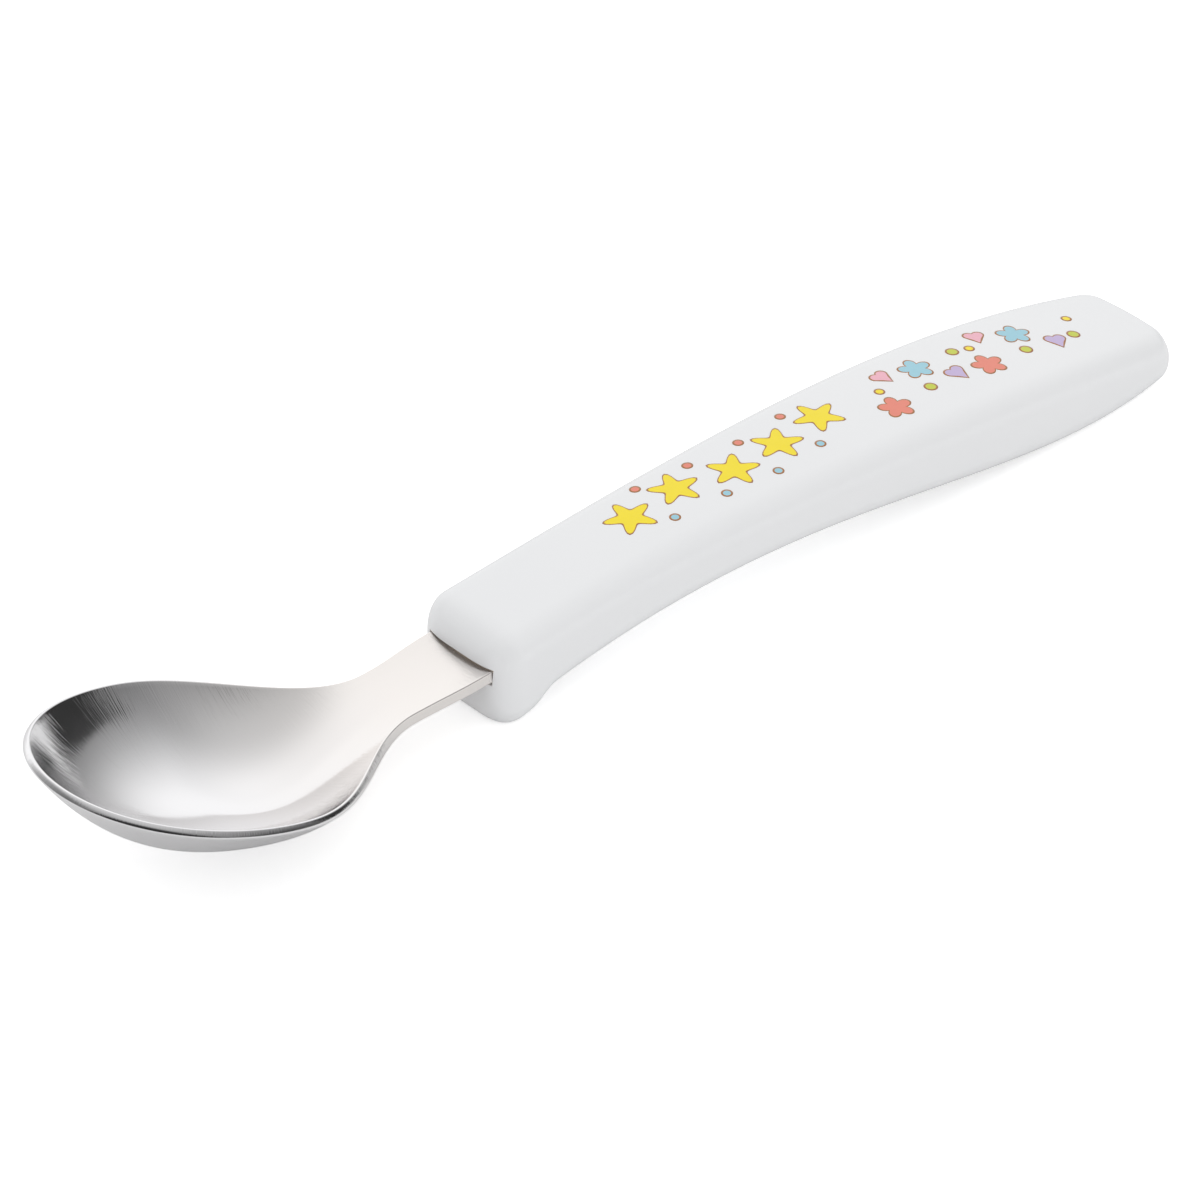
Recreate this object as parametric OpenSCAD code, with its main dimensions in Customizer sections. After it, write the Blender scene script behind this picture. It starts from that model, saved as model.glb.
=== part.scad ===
// Training spoon for a small child: a pressed steel spoon head with a flat tang,
// set with resin in the slot of a one-piece moulded handle.
// Millimetres. X runs from the bowl's tip to the handle's tail, Z is up, and the spoon lies on z = 0.
// Lengths along the spoon are measured from the bowl's widest section.

/* [Bowl] */
// Width of the bowl between its inner rim edges
bowl_w = 28.6; // [26:0.1:34]
// Length of the bowl from its tip to its widest section
bowl_front = 16.6; // [14:0.1:20]
// Fullness of the tip: 0 is an ellipse, more is blunter
tip_fullness = 0.04; // [0:0.005:0.12]
// Depth of the bowl below its rim
bowl_depth = 7.5; // [5:0.05:8]
// Flatness of the bowl's floor across the spoon: 0 is a parabola, more gives steeper walls
floor_flatness = 0.04; // [0:0.01:0.3]
// Flatness of the bowl's floor towards the tip
tip_flatness = 0.57; // [0.3:0.01:0.7]
// Height of the rim above the table at the widest section
rim_z = 10.55; // [9.5:0.05:14]
// Tilt of the rim, up towards the tip, in degrees
rim_tilt = 15.7; // [5:0.1:18]
// Length of the heel, from the widest section to the plain neck
heel_l = 22.9; // [18:0.1:26]
// Width that draws in the outline of the heel
heel_w = 14.4; // [13:0.1:20]
// Length of the hollow behind the widest section
hollow_l = 24.2; // [18:0.05:28]
// Depth that draws in the end of the hollow
hollow_pull = 1; // [0.5:0.05:2]
// Thickness of the sheet in the bowl
bowl_sheet = 0.85; // [0.7:0.05:1.2]
// Share of the lip's thickness that its upper rounding takes
lip_top = 0.25; // [0.1:0.05:0.4]
// Share of the lip's thickness that its lower rounding takes
lip_under = 0.6; // [0.2:0.05:0.6]

/* [Neck] */
// Width of the neck's top face at its narrowest
neck_w = 8.1; // [7:0.1:10]
// Width of the neck's top face where it enters the handle
neck_end_w = 8.9; // [8:0.1:9.4]
// Radius of the neck's edges, beside the top face
neck_edge_r = 0.1; // [0.1:0.05:0.3]
// Height of the neck's top edges where they enter the handle
neck_z = 6.75; // [6:0.05:7.5]
// Height that draws down the rim's line between the bowl and the neck
neck_dip_z = 5.15; // [4:0.05:7]
// Rise of the neck into the handle, in degrees
neck_rise = 2.9; // [0:0.1:4]
// Hollow across the neck's top face
neck_dish = 0.3; // [0.2:0.05:0.8]
// Thickness of the sheet in the neck and tang
neck_sheet = 1.15; // [1:0.05:1.6]

/* [Handle] */
// Distance of the handle's front face from the widest section
handle_x = 31.85; // [30:0.05:36]
// Length of the handle
handle_l = 94.25; // [85:0.25:105]
// Crown of the top face across its width
crown = 0.4; // [0:0.05:0.8]
// Radius of the long edges of the top
top_edge_r = 2.45; // [1:0.05:2.5]
// Radius of the long edges of the underside
under_edge_r = 2.5; // [1:0.05:2.5]

/* [Handle top line] */
// Height of the top at the front face
top_front_z = 10.1; // [9.8:0.05:11.5]
// Height that draws up the front quarter of the top
top_quarter_z = 12.95; // [12:0.05:14]
// Height that draws up the middle of the top
top_middle_z = 12.25; // [11.5:0.05:13.5]
// Height that draws up the back quarter of the top
top_back_z = 11.5; // [10.5:0.05:12.5]
// Height of the top at the tail
top_tail_z = 5.75; // [5:0.05:7]

/* [Handle underside line] */
// Height of the underside at the front face, above the finger stop
under_front_z = 0.65; // [0.4:0.05:1]
// Height that draws up the front quarter of the underside
under_quarter_z = 5.4; // [4.5:0.05:6]
// Height that draws up the arch in the middle of the underside
under_middle_z = 8.85; // [7.5:0.05:9.5]
// Height that draws down the back quarter of the underside
under_back_z = -3.5; // [-4:0.05:-2.5]
// Height of the underside at the tail
under_tail_z = 0.65; // [0.4:0.05:1.2]

/* [Handle width] */
// Width at the front face
front_w = 13.4; // [12.5:0.1:15]
// Width that draws in the grip behind the finger stop
grip_w = 11.4; // [10.8:0.1:14]
// Width that draws out the middle
middle_w = 16.2; // [14:0.1:18]
// Width that draws out the back quarter
back_w = 18.9; // [16:0.1:20]
// Width at the tail
tail_w = 13.8; // [12:0.1:16]

/* [Handle ends] */
// Radius of the front's top edge
front_top_r = 3.4; // [2:0.1:4]
// Radius of the front's side edges
front_side_r = 3.2; // [1.5:0.1:3.5]
// Radius of the front's lower edge
front_under_r = 2.6; // [1.5:0.1:3]
// Radius of the tail's top edge
tail_top_r = 1.25; // [0.6:0.05:2]
// Radius of the tail's corners, seen from above
tail_side_r = 2.35; // [1:0.05:4]
// Radius of the tail's lower edge
tail_under_r = 0.9; // [0.4:0.05:1.5]

/* [Finger stop] */
// Drop of the finger stop below the run of the underside
stop_drop = 1.22; // [0.8:0.02:2]
// Length of the finger stop at its full drop
stop_l = 3.55; // [2:0.05:6]
// Length over which the finger stop fades into the underside
stop_fade = 4.25; // [3:0.05:10]

/* [Tang] */
// Length of the tang inside the handle
tang_l = 38; // [25:0.5:45]
// Width of the tang at its end
tang_end_w = 6; // [4:0.1:8]
// Diameter of the holes that key the resin to the tang
key_d = 3.2; // [2:0.1:4]
// Number of keying holes
key_count = 2; // [1:1:2]
// Clearance between the tang and the slot in the handle
slot_gap = 0.15; // [0.1:0.05:0.35]
// Depth at which the resin starts inside the slot
bond_inset = 0.5; // [0.5:0.5:10]

/* [Hidden] */

steel_colour = [0.78, 0.78, 0.77];
plastic_colour = [0.94, 0.95, 0.96];
resin_colour = [0.86, 0.80, 0.62];

// Rows and points of the lofted surfaces
front_rows = 20;
heel_rows = 30;
tang_rows = 12;
half_points = 8;

// Turn of each point of the sheet's edge, and 1 or -1 for the upper or the lower rounding
edge_turns = [[45, 1], [90, 1], [90, -1], [135, -1]];

// Steps of the handle's lengths, roundings and top face
front_steps = 14;
middle_steps = 26;
tail_steps = 14;
arc_steps = 6;
top_steps = 8;

// Lengths at the handle's ends that hold the roundings
front_zone = 6;
tail_zone = 8;

// Stretch of the heel and neck over which the sheet thickens
thicken_from = 5;
thicken_to = handle_x - 3;

tang_end_x = handle_x + tang_l;
tang_taper_l = 12;
dish_fade_l = 8;
key_pitch = (tang_l - bond_inset - tang_taper_l / 2) / key_count;
key_sides = 48;
step = 0.001;
half_w = bowl_w / 2;
tail_x = handle_x + handle_l;

// Control values of the handle's lines, evenly spaced from front to tail
top_z = [top_front_z, top_quarter_z, top_middle_z, top_back_z, top_tail_z];
under_z = [under_front_z, under_quarter_z, under_middle_z, under_back_z, under_tail_z];
side_y = [front_w, grip_w, middle_w, back_w, tail_w] / 2;

// Greatest share of a section's height that one edge rounding takes
edge_share = 0.49;

// Curves

// Point at u, from 0 to 1, on the curve drawn by evenly spaced control values
function pull_curve(h, u) =
    len(h) == 1 ? h[0]
    : pull_curve([for (i = [0 : len(h) - 2]) h[i] * (1 - u) + h[i + 1] * u], u);

// Rise from 0 to 1 with level, unbent ends
function ease(u) =
    let (v = max(0, min(1, u)))
    v * v * v * (v * (6 * v - 15) + 10);

// Inset of a quarter-round edge of radius r at distance d from the end
function quarter_round(d, r) =
    let (q = max(0, min(1, 1 - d / r)))
    r * (1 - sqrt(1 - q * q));

function unit(v) = v / norm(v);

// Spoon head: the upper face of the sheet

// Height of the rim and of the neck's edges
function rim_height(x) =
    let (fall = -tan(rim_tilt), rise = tan(neck_rise), part = handle_x / 5)
    x <= 0 ? rim_z + fall * x
    : x >= handle_x ? neck_z + rise * (x - handle_x)
    : pull_curve([rim_z, rim_z + fall * part, rim_z + 2 * fall * part,
                  neck_dip_z, neck_z - rise * part, neck_z], x / handle_x);

// Half width behind the widest section; the third control value keeps the curve of the front outline
function half_width(x) =
    let (third = half_w * (1 - (1 - 2 * tip_fullness) * pow(heel_l / bowl_front, 2) / 20))
    x <= heel_l
        ? pull_curve([half_w, half_w, third, heel_w / 2, neck_w / 2, neck_w / 2], x / heel_l)
    : x <= handle_x
        ? (neck_w + (neck_end_w - neck_w) * ease((x - heel_l) / (handle_x - heel_l))) / 2
    : (neck_end_w - (neck_end_w - tang_end_w) * ease((x - tang_end_x + tang_taper_l) / tang_taper_l)) / 2;

// Depth of the centre line below the rim; the third control value keeps the bend of the bowl's floor
function hollow(x) =
    let (third = bowl_depth * (1 - (1 - tip_flatness) * pow(hollow_l / bowl_front, 2) / 10))
    x <= 0 ? bowl_depth
    : x <= hollow_l
        ? pull_curve([bowl_depth, bowl_depth, third, hollow_pull, neck_dish, neck_dish], x / hollow_l)
    : neck_dish * (1 - ease((x - handle_x) / dish_fade_l));

// Share of the depth that is left at r, from 0 on the centre line to 1 on the rim, on a floor of flatness f
function wall_form(r, f) = (1 - r * r) * (1 + f * r * r);

// Point of the upper face. From -1 to 0, s turns from the tip to the widest section;
// above 0 it is the distance behind that section. r runs across, from -1 to 1.
function face_point(s, r) =
    let (
        turn = 90 * (1 + s),
        x = s < 0 ? -bowl_front * cos(turn) * abs(r) : s,
        y = s < 0 ? half_w * sin(turn) * (1 + tip_fullness * pow(cos(turn), 2)) * r : half_width(s) * r,
        f = floor_flatness + (s < 0 ? (tip_flatness - floor_flatness) * pow(cos(turn), 2) : 0)
    )
    [x, y, rim_height(x) - hollow(x) * wall_form(r, f)];

// Direction square to the sheet, upwards
function face_normal(s, r) =
    abs(r) < step
        ? let (a = max(s, 0), slope = (face_point(a + step, 0)[2] - face_point(a, 0)[2]) / step)
          unit([-slope, 0, 1])
    : let (
          along = face_point(s + step, r) - face_point(s - step, r),
          across = face_point(s, r + step) - face_point(s, r - step),
          n = unit(cross(along, across))
      )
      n[2] < 0 ? -n : n;

// Direction out of the sheet's edge, along the sheet
function edge_direction(s, side) =
    let (
        along = unit(face_point(s + step, side) - face_point(s - step, side)),
        out = cross(along, face_normal(s, side)),
        inward = face_point(s, 0) - face_point(s, side)
    )
    out * inward > 0 ? -out : out;

function sheet_thickness(x) =
    bowl_sheet + (neck_sheet - bowl_sheet) * ease((x - thicken_from) / (thicken_to - thicken_from));

// Height of one rounding of the sheet's edge: a share of the thickness on the lip, crisp on the neck
function edge_rounding(x, share) =
    let (lip = share * sheet_thickness(x))
    lip + (neck_edge_r - lip) * ease((x - thicken_from) / (heel_l - thicken_from));

// Points of the sheet's edge at one side, over its two roundings, from the upper face to the lower one
function edge_points(s, side) =
    let (
        p = face_point(s, side),
        n = face_normal(s, side),
        out = edge_direction(s, side),
        top = edge_rounding(p[0], lip_top),
        under = edge_rounding(p[0], lip_under),
        thick = sheet_thickness(p[0])
    )
    [for (t = edge_turns)
        let (drop = t[1] > 0 ? top * (1 - cos(t[0])) : thick - under * (1 + cos(t[0])))
        p - n * drop + out * top * sin(t[0])];

// Closed loop round the sheet at s: upper face, right edge, lower face, left edge
function sheet_loop(s) =
    let (across = [for (k = [-half_points : half_points]) k / half_points])
    concat(
        [for (r = across) face_point(s, r)],
        edge_points(s, 1),
        [for (r = across) let (p = face_point(s, -r)) p - sheet_thickness(p[0]) * face_normal(s, -r)],
        let (edge = edge_points(s, -1)) [for (i = [len(edge) - 1 : -1 : 0]) edge[i]]
    );

sheet_rows = concat(
    [for (i = [0 : front_rows]) i / front_rows - 1],
    [for (i = [1 : heel_rows]) handle_x * i / heel_rows],
    [for (i = [1 : tang_rows]) handle_x + tang_l * i / tang_rows]
);
sheet_points = [for (s = sheet_rows) each sheet_loop(s)];
loop_size = 4 * half_points + 2 + 2 * len(edge_turns);
top_centre = half_points;
low_centre = 3 * half_points + 1 + len(edge_turns);

// Index of a point of the sheet. The front rows share the floor's centre,
// and the two sides of the tip's row are one.
function sheet_index(row, k) =
    let (j = k % loop_size, left = j < top_centre || j > low_centre)
    row <= front_rows && (j == top_centre || j == low_centre) ? front_rows * loop_size + j
    : row == 0 && left ? (2 * half_points - j + loop_size) % loop_size
    : row * loop_size + j;

// The two triangles of a four-sided patch, without those that have no area
function patch(a, b, c, d) = [
    for (t = [[a, b, c], [a, c, d]])
        if (t[0] != t[1] && t[1] != t[2] && t[2] != t[0]) t
];

sheet_faces = concat(
    [for (row = [0 : len(sheet_rows) - 2], j = [0 : loop_size - 1])
        each patch(sheet_index(row, j), sheet_index(row, j + 1),
                   sheet_index(row + 1, j + 1), sheet_index(row + 1, j))],
    let (last = (len(sheet_rows) - 1) * loop_size)
    [for (k = [0 : loop_size / 2 - 2])
        let (
            a = (2 * half_points + 2 + k) % loop_size,
            b = (2 * half_points + 1 - k + loop_size) % loop_size
        )
        each patch(last + (b + loop_size) % loop_size, last + a,
                   last + (a + 1) % loop_size, last + (b - 1 + loop_size) % loop_size)]
);

// Middle of the whole spoon along X
middle_x = (tail_x + min([for (p = sheet_points) p[0]])) / 2;

module in_spoon_frame() {
    translate([-middle_x, 0, 0]) children();
}

// Places its children on the line that the tang follows into the handle
module on_tang_line() {
    translate([handle_x, 0, neck_z]) rotate([0, -neck_rise, 0]) children();
}

module steel_blank() {
    difference() {
        polyhedron(points = sheet_points, faces = sheet_faces, convexity = 6);
        on_tang_line()
            for (i = [0 : key_count - 1])
                translate([bond_inset + key_pitch * (i + 0.5), 0, 0])
                    cylinder(h = 4 * neck_sheet, d = key_d, center = true, $fn = key_sides);
    }
}

module spoon_head() {
    color(steel_colour) in_spoon_frame() steel_blank();
}

// Handle

handle_rows = concat(
    [for (i = [0 : front_steps]) front_zone * (1 - cos(90 * i / front_steps))],
    [for (i = [1 : middle_steps - 1])
        front_zone + (handle_l - front_zone - tail_zone) * i / middle_steps],
    [for (i = [0 : tail_steps]) handle_l - tail_zone * (1 - sin(90 * i / tail_steps))]
);

function handle_top(d) =
    pull_curve(top_z, d / handle_l)
    - quarter_round(d, front_top_r) - quarter_round(handle_l - d, tail_top_r);

function handle_under(d) =
    pull_curve(under_z, d / handle_l) - stop_drop * (1 - ease((d - stop_l) / stop_fade))
    + quarter_round(d, front_under_r) + quarter_round(handle_l - d, tail_under_r);

function handle_side(d) =
    pull_curve(side_y, d / handle_l)
    - quarter_round(d, front_side_r) - quarter_round(handle_l - d, tail_side_r);

// Half of the section at distance d behind the front face, from the underside up to the crest
function handle_half(d) =
    let (
        w = handle_side(d),
        high = handle_top(d),
        low = handle_under(d),
        room = edge_share * (high - low),
        upper = min(top_edge_r, room),
        lower = min(under_edge_r, room),
        turns = [for (i = [0 : arc_steps]) 90 * i / arc_steps],
        outline = concat(
            [for (a = turns) [w - lower + lower * sin(a), low + lower - lower * cos(a)]],
            [for (a = turns) [w - upper + upper * cos(a), high - upper + upper * sin(a)]],
            [for (i = [1 : top_steps / 2]) [(w - upper) * (1 - 2 * i / top_steps), high]]
        )
    )
    [for (i = [0 : len(outline) - 1])
        [outline[i][0], outline[i][1] - (i > arc_steps ? crown * pow(outline[i][0] / w, 2) : 0)]];

function handle_loop(d) =
    let (half = handle_half(d), n = len(half))
    concat(
        [for (p = half) [handle_x + d, p[0], p[1]]],
        [for (i = [n - 2 : -1 : 0]) [handle_x + d, -half[i][0], half[i][1]]]
    );

handle_points = [for (d = handle_rows) each handle_loop(d)];
ring_size = len(handle_points) / len(handle_rows);
handle_faces = concat(
    [for (row = [0 : len(handle_rows) - 2], j = [0 : ring_size - 1])
        let (a = row * ring_size, k = (j + 1) % ring_size)
        each patch(a + j, a + ring_size + j, a + ring_size + k, a + k)],
    [[for (j = [0 : ring_size - 1]) j]],
    [[for (j = [ring_size - 1 : -1 : 0]) (len(handle_rows) - 1) * ring_size + j]]
);

// Straight slot for the tang, from a depth behind the front face to its end
module tang_slot(from) {
    slot_w = neck_end_w + 2 * (neck_edge_r + slot_gap);
    slot_h = neck_dish + neck_sheet + 2 * slot_gap;
    on_tang_line()
        translate([from, -slot_w / 2, slot_gap - slot_h])
            cube([tang_l + slot_gap - from, slot_w, slot_h]);
}

// Everything above the table, which leaves small flat lands where the handle rests
module above_table() {
    translate([handle_x - 1, -bowl_w, 0]) cube([handle_l + 2, 2 * bowl_w, 2 * max(top_z)]);
}

module handle() {
    color(plastic_colour) in_spoon_frame()
        difference() {
            intersection() {
                polyhedron(points = handle_points, faces = handle_faces, convexity = 6);
                above_table();
            }
            tang_slot(-1);
        }
}

// Cured resin that fills the slot round the tang and through its holes
module tang_bond() {
    color(resin_colour) in_spoon_frame()
        difference() {
            tang_slot(bond_inset);
            steel_blank();
        }
}

spoon_head();
handle();
tang_bond();
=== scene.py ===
# %% [markdown]
# # A child's training spoon
# The spoon is a pressed steel head whose flat tang is set with resin in a thick white handle. The CAD model
# gives every size. This lesson dresses it: the steel and the handle are rebuilt as smooth meshes in the
# CAD's own frame, the handle gets a printed decoration, and a white studio lights the spoon.

# %% Load the CAD frame
import math

import bmesh
import bpy
import numpy as np
from mathutils import Matrix, Vector


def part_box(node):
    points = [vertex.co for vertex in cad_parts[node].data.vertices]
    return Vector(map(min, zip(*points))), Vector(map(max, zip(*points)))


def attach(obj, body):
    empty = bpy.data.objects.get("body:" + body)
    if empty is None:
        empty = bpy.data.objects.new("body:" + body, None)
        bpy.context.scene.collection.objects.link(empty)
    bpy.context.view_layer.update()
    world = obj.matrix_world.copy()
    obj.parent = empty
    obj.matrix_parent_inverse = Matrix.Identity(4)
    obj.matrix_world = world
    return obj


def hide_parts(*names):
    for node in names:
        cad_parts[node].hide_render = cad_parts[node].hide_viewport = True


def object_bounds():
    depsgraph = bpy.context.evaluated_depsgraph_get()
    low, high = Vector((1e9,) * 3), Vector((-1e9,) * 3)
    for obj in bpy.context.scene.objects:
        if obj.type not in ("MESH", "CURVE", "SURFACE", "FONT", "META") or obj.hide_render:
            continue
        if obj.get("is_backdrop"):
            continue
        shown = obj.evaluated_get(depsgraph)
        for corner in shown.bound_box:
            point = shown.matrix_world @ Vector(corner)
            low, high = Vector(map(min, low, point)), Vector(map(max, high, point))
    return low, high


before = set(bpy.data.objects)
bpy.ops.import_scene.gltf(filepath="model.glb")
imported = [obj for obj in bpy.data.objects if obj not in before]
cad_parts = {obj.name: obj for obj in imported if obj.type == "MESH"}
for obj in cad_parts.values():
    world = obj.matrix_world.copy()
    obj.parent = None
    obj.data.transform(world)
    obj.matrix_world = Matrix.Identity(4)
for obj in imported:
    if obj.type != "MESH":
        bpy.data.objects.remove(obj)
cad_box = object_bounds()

MM = 0.001
scene = bpy.context.scene
print("CAD nodes:", sorted(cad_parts))

# %% [markdown]
# ## Camera
# The photograph looks down on the spoon from beside the bowl, with a long lens. A camera could be moved by
# hand until the picture fits, but it is easier to check when it is placed by what was measured: a
# direction, a distance and the point it looks at. The aim point sits a little in front of the spoon's
# middle, which frames the spoon without any lens shift.

# %% Camera
CAMERA_AIM = Vector((-8.23, -4.69, 8.71)) * MM
CAMERA_AZIMUTH = math.radians(-42.12)
CAMERA_ELEVATION = math.radians(35.43)
CAMERA_DISTANCE = 600 * MM
CAMERA_LENS = 184.1
SENSOR_WIDTH = 36.0

towards_camera = Vector((
    math.sin(CAMERA_AZIMUTH) * math.cos(CAMERA_ELEVATION),
    -math.cos(CAMERA_AZIMUTH) * math.cos(CAMERA_ELEVATION),
    math.sin(CAMERA_ELEVATION),
))
camera = bpy.data.objects.new("camera", bpy.data.cameras.new("camera"))
camera.data.lens = CAMERA_LENS
camera.data.sensor_width = SENSOR_WIDTH
camera.location = CAMERA_AIM + towards_camera * CAMERA_DISTANCE
camera.rotation_euler = (-towards_camera).to_track_quat("-Z", "Y").to_euler()
scene.collection.objects.link(camera)
scene.camera = camera
print("camera at", [round(x, 3) for x in camera.location])

# %% [markdown]
# ## Spoon head: the rule of its sheet
# The head is one sheet of steel, pressed to a bowl and left nearly flat in the neck and the tang. It could
# be modelled by hand as a subdivided cage, but its upper face follows a rule: a rim line, a half width and
# a hollow at each distance from the bowl's widest section. The same rule drives the CAD model, so here it
# is only sampled more finely. Lengths are in millimetres from the widest section until the mesh is placed.

# %% Place of the bowl
HANDLE_X = 31.85

# The CAD's origin is under the middle of the spoon, and HANDLE_X is where the handle starts in the rule.
ORIGIN_X = HANDLE_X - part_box("handle")[0].x / MM


def frame_x(x):
    """A distance of the rule, in millimetres, as an x in the frame."""
    return (x - ORIGIN_X) * MM


print("the bowl's widest section is at x =", round(-ORIGIN_X, 2), "mm in the frame")

# %% Curves of the rule
# The curves of the rule have six control values, which are five steps apart.
CURVE_STEPS = 5


def pull_curve(values, u):
    """The curve that evenly spaced control values draw, at u from 0 to 1."""
    values = [value + 0 * u for value in values]
    while len(values) > 1:
        values = [a * (1 - u) + b * u for a, b in zip(values, values[1:])]
    return values[0]


def ease(u):
    """Rises from 0 to 1 with level, unbent ends."""
    v = np.clip(u, 0, 1)
    return v ** 3 * (v * (6 * v - 15) + 10)


print("a quarter of the way, the ease has risen to", round(float(ease(0.25)), 3))

# %% Rim line
RIM_Z = 10.55
RIM_SLOPE = -math.tan(math.radians(15.7))
NECK_Z = 6.75
NECK_DIP_Z = 5.15
NECK_RISE = math.radians(2.9)


def rim_height(x):
    """Height of the sheet's edges: straight over the bowl and along the tang, with one curve between."""
    slope = math.tan(NECK_RISE)
    step = HANDLE_X / CURVE_STEPS
    line = [RIM_Z, RIM_Z + RIM_SLOPE * step, RIM_Z + 2 * RIM_SLOPE * step]
    line += [NECK_DIP_Z, NECK_Z - slope * step, NECK_Z]
    bowl = RIM_Z + RIM_SLOPE * x
    neck = pull_curve(line, np.clip(x / HANDLE_X, 0, 1))
    tang = NECK_Z + slope * (x - HANDLE_X)
    return np.where(x <= 0, bowl, np.where(x >= HANDLE_X, tang, neck))


print("rim at the widest section and at the handle:", rim_height(np.array([0, HANDLE_X])), "mm")

# %% Half width
BOWL_HALF_W = 14.3
BOWL_FRONT = 16.6
TIP_FULLNESS = 0.04
HEEL_L = 22.9
HEEL_HALF_W = 7.2
NECK_HALF_W = 4.05
NECK_END_HALF_W = 4.45
TANG_L = 38.0
TANG_TAPER_L = 12.0
TANG_END_HALF_W = 3.0

# At its start, such a curve bends by 5 x 4 times the second difference of its first three control values.
START_BEND = CURVE_STEPS * (CURVE_STEPS - 1)


def carry_bend(start, bend, length):
    """The third control value of a curve that starts level and carries on the bend of the bowl's front."""
    return start * (1 - bend * (length / BOWL_FRONT) ** 2 / START_BEND)


def half_width(x):
    """Half of the sheet's width, from the bowl's widest section back."""
    third = carry_bend(BOWL_HALF_W, 1 - 2 * TIP_FULLNESS, HEEL_L)
    line = [BOWL_HALF_W, BOWL_HALF_W, third, HEEL_HALF_W, NECK_HALF_W, NECK_HALF_W]
    heel = pull_curve(line, np.clip(x / HEEL_L, 0, 1))
    neck = (NECK_END_HALF_W - NECK_HALF_W) * ease((x - HEEL_L) / (HANDLE_X - HEEL_L))
    taper_from = HANDLE_X + TANG_L - TANG_TAPER_L
    tang = (TANG_END_HALF_W - NECK_END_HALF_W) * ease((x - taper_from) / TANG_TAPER_L)
    return heel + neck + tang


print("half width at the widest section and at the handle:", half_width(np.array([0, HANDLE_X])), "mm")

# %% Hollow
BOWL_DEPTH = 7.5
TIP_FLATNESS = 0.57
HOLLOW_L = 24.2
HOLLOW_PULL = 1.0
NECK_DISH = 0.3
DISH_FADE_L = 8.0


def hollow(x):
    """Depth of the sheet's middle below its edges: a bowl, then a slight dish that fades in the tang."""
    third = carry_bend(BOWL_DEPTH, 2 * (1 - TIP_FLATNESS), HOLLOW_L)
    line = [BOWL_DEPTH, BOWL_DEPTH, third, HOLLOW_PULL, NECK_DISH, NECK_DISH]
    dish = pull_curve(line, np.clip(x / HOLLOW_L, 0, 1))
    return dish * (1 - ease((x - HANDLE_X) / DISH_FADE_L))


print("hollow at the widest section and at the handle:", hollow(np.array([0, HANDLE_X])), "mm")

# %% Thickness
BOWL_SHEET = 0.85
NECK_SHEET = 1.15
THICKEN_FROM = 5.0
THICKEN_TO = HANDLE_X - 3.0


def sheet_thickness(x):
    """Thickness of the steel, which pressing thins in the bowl."""
    share = ease((x - THICKEN_FROM) / (THICKEN_TO - THICKEN_FROM))
    return BOWL_SHEET + (NECK_SHEET - BOWL_SHEET) * share


print("thickness at the widest section and at the handle:", sheet_thickness(np.array([0, HANDLE_X])), "mm")

# %% Points of the upper face
FLOOR_FLATNESS = 0.04


def face_point(s, r):
    """A point of the upper face. s goes from -1 at the tip to 0 at the widest section, and then on in mm.
    r goes across, from -1 to 1."""
    turn = np.radians(90 * (1 + np.minimum(s, 0)))
    in_front = s < 0
    x = np.where(in_front, -BOWL_FRONT * np.cos(turn) * np.abs(r), s)
    front_side = BOWL_HALF_W * np.sin(turn) * (1 + TIP_FULLNESS * np.cos(turn) ** 2)
    y = np.where(in_front, front_side, half_width(np.maximum(s, 0))) * r
    towards_tip = np.where(in_front, np.cos(turn), 0)
    flatness = FLOOR_FLATNESS + (TIP_FLATNESS - FLOOR_FLATNESS) * towards_tip ** 2
    depth = hollow(x) * (1 - r ** 2) * (1 + flatness * r ** 2)
    return np.stack([x, y, rim_height(x) - depth], -1)


print("tip of the bowl:", face_point(np.array(-1.0), np.array(1.0)).round(2), "mm")

# %% Directions of the sheet
STEP = 0.001
TINY = 1e-12


def unit(v):
    """A direction of length 1."""
    return v / np.maximum(np.linalg.norm(v, axis=-1, keepdims=True), TINY)


def run_direction(s, r):
    """The way along the sheet."""
    return face_point(s + STEP, r) - face_point(s - STEP, r)


def face_normal(s, r):
    """The way square to the sheet, upwards. On the middle line it is taken from the slope along the sheet,
    because the front's rows all meet there."""
    across = face_point(s, r + STEP) - face_point(s, r - STEP)
    normal = unit(np.cross(run_direction(s, r), across))
    normal = normal * np.where(normal[..., 2:] < 0, -1, 1)
    back = np.maximum(s, 0)
    slope = (face_point(back + STEP, 0 * r)[..., 2] - face_point(back, 0 * r)[..., 2]) / STEP
    middle = unit(np.stack([-slope, 0 * slope, 1 + 0 * slope], -1))
    return np.where((np.abs(r) < STEP)[..., None], middle, normal)


print("square to the bowl's rim:", face_normal(np.array(0.0), np.array(1.0)).round(2))

# %% Edge of the sheet
LIP_TOP = 0.25
LIP_UNDER = 0.6
NECK_EDGE_R = 0.1
EDGE_STEPS = 6

quarter_turn = [math.pi / 2 * i / EDGE_STEPS for i in range(1, EDGE_STEPS + 1)]


def edge_rounding(x, share):
    """Height of one rounding: a share of the thickness on the bowl's lip, and crisp on the neck."""
    lip = share * sheet_thickness(x)
    return lip + (NECK_EDGE_R - lip) * ease((x - THICKEN_FROM) / (HEEL_L - THICKEN_FROM))


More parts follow.
